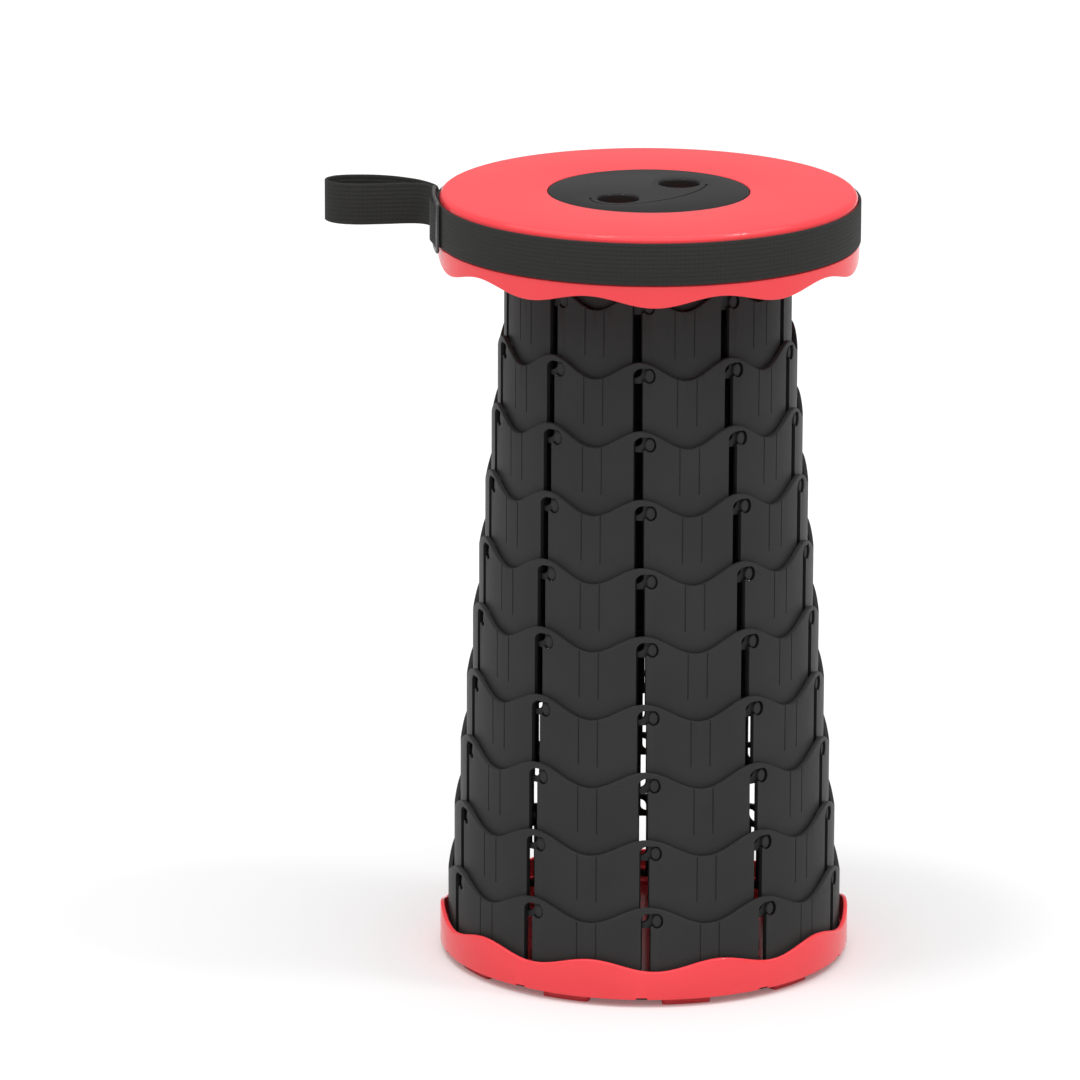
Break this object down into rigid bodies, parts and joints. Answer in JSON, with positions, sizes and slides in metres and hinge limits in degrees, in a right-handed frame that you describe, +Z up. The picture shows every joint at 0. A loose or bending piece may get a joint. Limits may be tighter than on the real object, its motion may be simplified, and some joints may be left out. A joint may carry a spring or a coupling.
{
  "type": "telescopic stool",
  "caption": "Round collapsible stool: a flat seat with finger holes and a carry strap on nested leaf rings that slide out of each other and lock with pins above a round base.",
  "frame": {"origin": "on the floor under the middle of the base, on the stool's axis", "axes": "+Z up along the axis the stool telescopes on, -Y towards the picture's viewer, +X to the viewer's right"},
  "size_m": [0.3126, 0.2468, 0.4585],
  "materials": {
    "red_shell": "moulded, soft gloss",
    "black_leaf": "moulded, fine grain",
    "foot": "plain",
    "webbing": "woven",
    "buckle": "moulded, satin"
  },
  "bodies": {
    "base": {"base_tray": "red_shell", "leg_ring_11": "black_leaf", "foot_pad_01": "foot", "foot_pad_02": "foot", "foot_pad_03": "foot", "foot_pad_04": "foot", "foot_pad_05": "foot", "foot_pad_06": "foot", "foot_pad_07": "foot", "foot_pad_08": "foot", "foot_pad_09": "foot", "foot_pad_10": "foot"},
    "ring_10": {"leg_ring_10": "black_leaf"},
    "ring_09": {"leg_ring_09": "black_leaf"},
    "ring_08": {"leg_ring_08": "black_leaf"},
    "ring_07": {"leg_ring_07": "black_leaf"},
    "ring_06": {"leg_ring_06": "black_leaf"},
    "ring_05": {"leg_ring_05": "black_leaf"},
    "ring_04": {"leg_ring_04": "black_leaf"},
    "ring_03": {"leg_ring_03": "black_leaf"},
    "ring_02": {"leg_ring_02": "black_leaf"},
    "seat": {"leg_ring_01": "black_leaf", "seat_lid": "red_shell", "seat_disc": "black_leaf", "strap_band": "webbing", "strap_buckle": "buckle"},
    "carry_loop": {"strap_loop": "webbing"}
  },
  "joints": [
    {"name": "stage_10_slide", "type": "slide", "parent": "base", "child": "ring_10", "axis": [0, 0, 1], "range_m": [-0.0394, 0]},
    {"name": "stage_09_slide", "type": "slide", "parent": "ring_10", "child": "ring_09", "axis": [0, 0, 1], "range_m": [-0.0394, 0]},
    {"name": "stage_08_slide", "type": "slide", "parent": "ring_09", "child": "ring_08", "axis": [0, 0, 1], "range_m": [-0.0394, 0]},
    {"name": "stage_07_slide", "type": "slide", "parent": "ring_08", "child": "ring_07", "axis": [0, 0, 1], "range_m": [-0.0394, 0]},
    {"name": "stage_06_slide", "type": "slide", "parent": "ring_07", "child": "ring_06", "axis": [0, 0, 1], "range_m": [-0.0394, 0]},
    {"name": "stage_05_slide", "type": "slide", "parent": "ring_06", "child": "ring_05", "axis": [0, 0, 1], "range_m": [-0.0394, 0]},
    {"name": "stage_04_slide", "type": "slide", "parent": "ring_05", "child": "ring_04", "axis": [0, 0, 1], "range_m": [-0.0394, 0]},
    {"name": "stage_03_slide", "type": "slide", "parent": "ring_04", "child": "ring_03", "axis": [0, 0, 1], "range_m": [-0.0394, 0]},
    {"name": "stage_02_slide", "type": "slide", "parent": "ring_03", "child": "ring_02", "axis": [0, 0, 1], "range_m": [-0.0394, 0]},
    {"name": "stage_01_slide", "type": "slide", "parent": "ring_02", "child": "seat", "axis": [0, 0, 1], "range_m": [-0.0394, 0]},
    {"name": "carry_loop_swing", "type": "hinge", "parent": "seat", "child": "carry_loop", "pos_m": [-0.1242, 0.02, 0.44247], "axis": [0, 0, 1], "range_deg": [-15, 60]}
  ]
}
